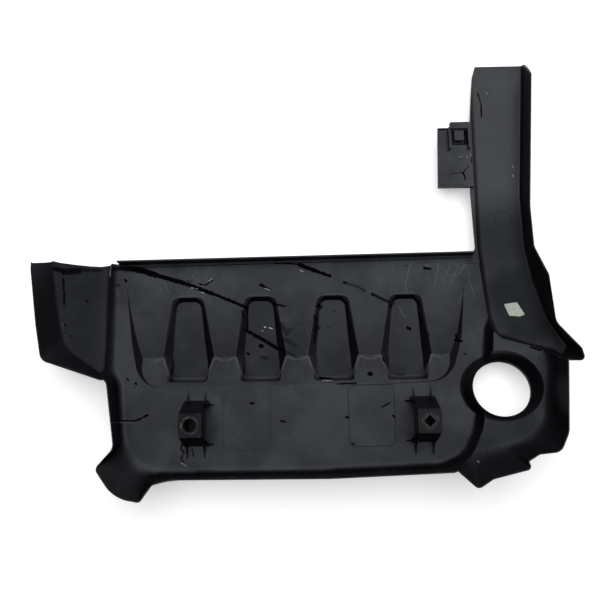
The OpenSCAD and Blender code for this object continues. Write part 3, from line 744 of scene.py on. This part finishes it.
# The plastic's colours, from the darkest to the palest.
# The crack black also carries painted shade, and the wall one beside it is painted shade on walls.
CRACK_AND_SHADE, WALL_SHADE = (0.0012, 0.0012, 0.0018, 1), (0.0022, 0.0022, 0.0026, 1)
# The first of these paints shade on the rougher areas; the second is clean plastic.
DULL_SHADE_BLACK, CLEAN = (0.004, 0.0038, 0.0045, 1), (0.008, 0.008, 0.0088, 1)
# Wiped plastic, and a paler grey that is painted light.
WIPED, PAINTED_LIGHT_GREY = (0.0165, 0.017, 0.0185, 1), (0.034, 0.0335, 0.036, 1)
# The first grey is the painted highlight on pocket rims; the other two are scratches.
RIM_HIGHLIGHT_GREY, SCRATCHED, SCORED = (0.06, 0.062, 0.066, 1), (0.068, 0.073, 0.086, 1), (0.07, 0.075, 0.085, 1)
# Chips and specks, and the painted highlights along dark streaks.
CHIP_AND_HIGHLIGHT = (0.55, 0.57, 0.6, 1)

plastic = bpy.data.materials.new("black_plastic")
plastic.use_nodes = True
tree = plastic.node_tree
shader = tree.nodes["Principled BSDF"]
shader.inputs["Specular IOR Level"].default_value = 0.22
shader.inputs["Specular Tint"].default_value = (0.80, 0.87, 1.0, 1)
at = in_cover_mm(tree)
flat = put(tree, "VectorMath", "MULTIPLY", i0=at, i1=(1, 1, 0))
torn = uneven(tree, flat, 0.42, 2.6, 3.0)
dark = smears(tree, torn, DARK)
pale = smears(tree, torn, PALE)
rubbed = ramp(tree, smears(tree, flat, RUBBED), 0.0, 1.0)
dull_and_shade = smears(tree, at, DULL_AND_SHADE, 0.5)
paler = smears(tree, at, PAINTED_LIGHT, 0.5)
lit = smears(tree, flat, LIT, 0.4)
scratches = smears(tree, torn, SCRATCHES)

# The row of pockets folded onto half of its first one, and the rims' painted highlight only within the row.
in_row = put(tree, "VectorMath", "WRAP", i0=at, i1=(FIRST + PITCH / 2, 1e3, 1),
             i2=(FIRST - PITCH / 2, -1e3, 0))
in_row = put(tree, "VectorMath", "ABSOLUTE", i0=put(
    tree, "VectorMath", "MULTIPLY_ADD", i0=in_row, i1=(1, 0, 0), i2=(-FIRST, 0, 0)))
in_row = put(tree, "VectorMath", "MULTIPLY_ADD", i0=at, i1=(0, 1, 0), i2=in_row)
row_mid = FIRST + (POCKETS - 1) / 2 * PITCH
from_mid = put(tree, "VectorMath", "LENGTH", 1, i0=put(
    tree, "VectorMath", "MULTIPLY_ADD", i0=at, i1=(1, 0, 0), i2=(-row_mid, 0, 0)))
rim_highlight = put(tree, "Math", "MULTIPLY", i0=smears(tree, in_row, RIM_HIGHLIGHT, 0.6), i1=put(
    tree, "Math", "LESS_THAN", i0=from_mid, i1=POCKETS / 2 * PITCH))

for x0, y1, x1, y0, strength in LIFTERS:
    half_size = ((x1 - x0) / 2 - LIFTER_ROUND, (y1 - y0) / 2 - LIFTER_ROUND, 0)
    box = put(tree, "VectorMath", "SUBTRACT", i1=half_size, i0=put(
        tree, "VectorMath", "ABSOLUTE", i0=put(
            tree, "VectorMath", "SUBTRACT", i0=flat, i1=((x0 + x1) / 2, (y0 + y1) / 2, 0))))
    edge = put(tree, "VectorMath", "LENGTH", 1, i0=put(tree, "VectorMath", "MAXIMUM", i0=box, i1=(0, 0, 0)))
    dark = put(tree, "Math", "MAXIMUM", i0=dark, i1=put(tree, "Math", "MULTIPLY", i1=strength, i0=ramp(
        tree, put(tree, "Math", "ABSOLUTE", i0=put(
            tree, "Math", "SUBTRACT", i0=edge, i1=LIFTER_ROUND)), 0.75, 0.25)))
for x0, y0, r in PINS:
    edge = put(tree, "VectorMath", "DISTANCE", 1, i0=flat, i1=(x0, y0, 0))
    dark = put(tree, "Math", "MAXIMUM", i0=dark, i1=put(tree, "Math", "MULTIPLY", i1=0.3, i0=ramp(
        tree, put(tree, "Math", "ABSOLUTE", i0=put(tree, "Math", "SUBTRACT", i0=edge, i1=r)), 0.9, 0.3)))
cloud = put(tree, "TexNoise", i0=at, i2=0.022, i3=4.0, i4=0.62)
wiped = ramp(tree, cloud, 0.36, 0.66)
lines = place_effect(tree, scratch, Vector=flat, Turn=1.25, Fineness=1.2, Amount=1.0)
lines = put(tree, "Math", "MULTIPLY", i0=lines, i1=put(
    tree, "Math", "MULTIPLY_ADD", i0=rubbed, i1=0.85, i2=0.15))

# Painted shade: walls, and faces turned away from a light high over the arm's side, are painted
# darker than level faces, except the lit walls. The collar is painted black where it faces up,
# also as painted shade.
facing_light = put(tree, "VectorMath", "DOT_PRODUCT", 1, i1=(0.3, 0, 1),
             i0=tree.nodes.new("ShaderNodeNewGeometry").outputs["Normal"])
level = put(tree, "Math", "MAXIMUM", i0=lit, i1=ramp(tree, facing_light, 0.52, 0.97))
# Painted shade: the collar round the filler opening, where it faces up, is made black.
collar = put(tree, "VectorMath", "LENGTH", 1, i0=put(
    tree, "VectorMath", "MULTIPLY_ADD", i0=at, i1=(1 / COLLAR_REACH[0], 1 / COLLAR_REACH[1], 0),
    i2=(-COLLAR_MID[0] / COLLAR_REACH[0], -COLLAR_MID[1] / COLLAR_REACH[1], 0)))
collar = put(tree, "Math", "MULTIPLY", i0=ramp(tree, collar, 1.02, 0.97), i1=ramp(tree, facing_light, 0.0, 0.2))
colour = mixed(tree, wiped, CLEAN, WIPED)
# Painted light: paler on the arm's floor and in the recess near its left wall.
colour = mixed(tree, put(tree, "Math", "MULTIPLY", i0=paler, i1=0.9), colour, PAINTED_LIGHT_GREY)
# Painted shade on walls and on faces turned away from the light.
colour = mixed(tree, level, WALL_SHADE, colour)
# Painted shade: strokes on the right panel's wall and the left pedestal's face, and the collar where it
# faces up.
black = put(tree, "Math", "MAXIMUM", i0=smears(tree, at, SHADE_STROKES, 0.6), i1=put(
    tree, "Math", "MULTIPLY", i0=collar, i1=0.8))
dark = put(tree, "Math", "MAXIMUM", i0=dark, i1=black)
# Painted highlight along the pockets' rounded rims.
colour = mixed(tree, put(tree, "Math", "MULTIPLY", i0=rim_highlight, i1=0.5), colour, RIM_HIGHLIGHT_GREY)
# Rougher areas, also painted darker as painted shade.
colour = mixed(tree, put(tree, "Math", "MULTIPLY", i0=dull_and_shade, i1=0.8), colour, DULL_SHADE_BLACK)
colour = mixed(tree, put(tree, "Math", "MULTIPLY", i0=lines, i1=0.7), colour, SCORED)
colour = mixed(tree, scratches, colour, SCRATCHED)
# Cracks, tears, dirt and mould marks, together with the painted shade joined into them.
colour = mixed(tree, dark, colour, CRACK_AND_SHADE)
# Chips and specks, and painted highlights along the dark streaks.
colour = mixed(tree, pale, colour, CHIP_AND_HIGHLIGHT)
tree.links.new(colour, shader.inputs["Base Color"])
rough = put(tree, "Math", "MULTIPLY_ADD", i0=wiped, i1=-0.08, i2=0.44)
rough = put(tree, "Math", "MULTIPLY_ADD", i0=dull_and_shade, i1=0.28, i2=rough)
rough = put(tree, "Math", "MAXIMUM", i0=rough, i1=put(tree, "Math", "MULTIPLY", i0=dark, i1=0.95))
tree.links.new(rough, shader.inputs["Roughness"])
tree.links.new(put(tree, "Math", "MULTIPLY", i0=dark, i1=0.75), shader.inputs["Metallic"])
rough_skin(tree, put(tree, "TexNoise", i0=at, i2=1.1, i3=3.0), 0.12, 0.0004)
cover.data.materials.clear()
cover.data.materials.append(plastic)
cover.data.shade_smooth()
cover.data.set_sharp_from_angle(angle=math.radians(32))
weighted = cover.modifiers.new("weighted", "WEIGHTED_NORMAL")
weighted.keep_sharp = True

# Sockets: two black rubber parts pressed into the pedestals, a ring with a round hole and a
# plug with a square hole. Their faces are scuffed by the studs that the cover is pushed onto.
SCUFFS = {"left_socket": (LEFT_BOSS, [(-6, 6.5, -1, 8.6, 0.5, 0.35), (3, 8, 7.5, 4.5, 0.5, 0.3),
                                      (-8.5, 2, -8.6, -2, 0.7, 0.5), (2, -8.6, 6, -6.6, 0.5, 0.3)]),
          "right_socket": (RIGHT_BOSS, [(-6.8, 1, -1, 6.8, 0.4, 0.28), (1, 6.8, 6.8, 1, 0.4, 0.28),
                                        (-6.8, -1, -1, -6.8, 0.4, 0.22), (1, -6.8, 6.8, -1, 0.4, 0.22),
                                        (-7.5, 0, -8, 1.5, 0.5, 0.4), (7.4, 4.6, 8.6, 1, 0.5, 0.35)])}
for name, (where, scuffs) in SCUFFS.items():
    rubber = bpy.data.materials.new(name + "_rubber")
    rubber.use_nodes = True
    tree = rubber.node_tree
    shader = tree.nodes["Principled BSDF"]
    shader.inputs["Specular IOR Level"].default_value = 0.2
    at = in_cover_mm(tree)
    torn = uneven(tree, at, 0.7, 1.4, 2.0)
    x, y = where[:2]
    pale = smears(tree, torn, [(x + a, y + b, x + c, y + d, half, k) for a, b, c, d, half, k in scuffs])
    paler = ramp(tree, put(tree, "TexNoise", i0=at, i2=0.5, i3=4.0), 0.45, 0.7)
    colour = mixed(tree, paler, (0.004, 0.004, 0.004, 1), (0.014, 0.014, 0.015, 1))
    tree.links.new(mixed(tree, pale, colour, (0.11, 0.11, 0.113, 1)), shader.inputs["Base Color"])
    tree.links.new(put(tree, "Math", "MULTIPLY_ADD", i0=paler, i1=0.2, i2=0.55), shader.inputs["Roughness"])
    rough_skin(tree, paler, 0.25, 0.0003)
    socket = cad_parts[name]
    socket.data.materials.clear()
    socket.data.materials.append(rubber)

# Sticker: a small pale green paper sticker on the arm's floor, bare, and a little soiled.
paper = bpy.data.materials.new("pale_green_paper")
paper.use_nodes = True
tree = paper.node_tree
shader = tree.nodes["Principled BSDF"]
shader.inputs["Specular IOR Level"].default_value = 0.3
shader.inputs["Roughness"].default_value = 0.6
at = in_cover_mm(tree)
soiled = ramp(tree, put(tree, "TexNoise", i0=at, i2=0.28, i3=5.0, i4=0.65), 0.42, 0.72)
tree.links.new(mixed(tree, soiled, (0.37, 0.42, 0.345, 1), (0.25, 0.285, 0.235, 1)),
               shader.inputs["Base Color"])
rough_skin(tree, put(tree, "TexNoise", i0=at, i2=2.5), 0.15, 0.0002)
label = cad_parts["sticker"]
label.data.materials.clear()
label.data.materials.append(paper)
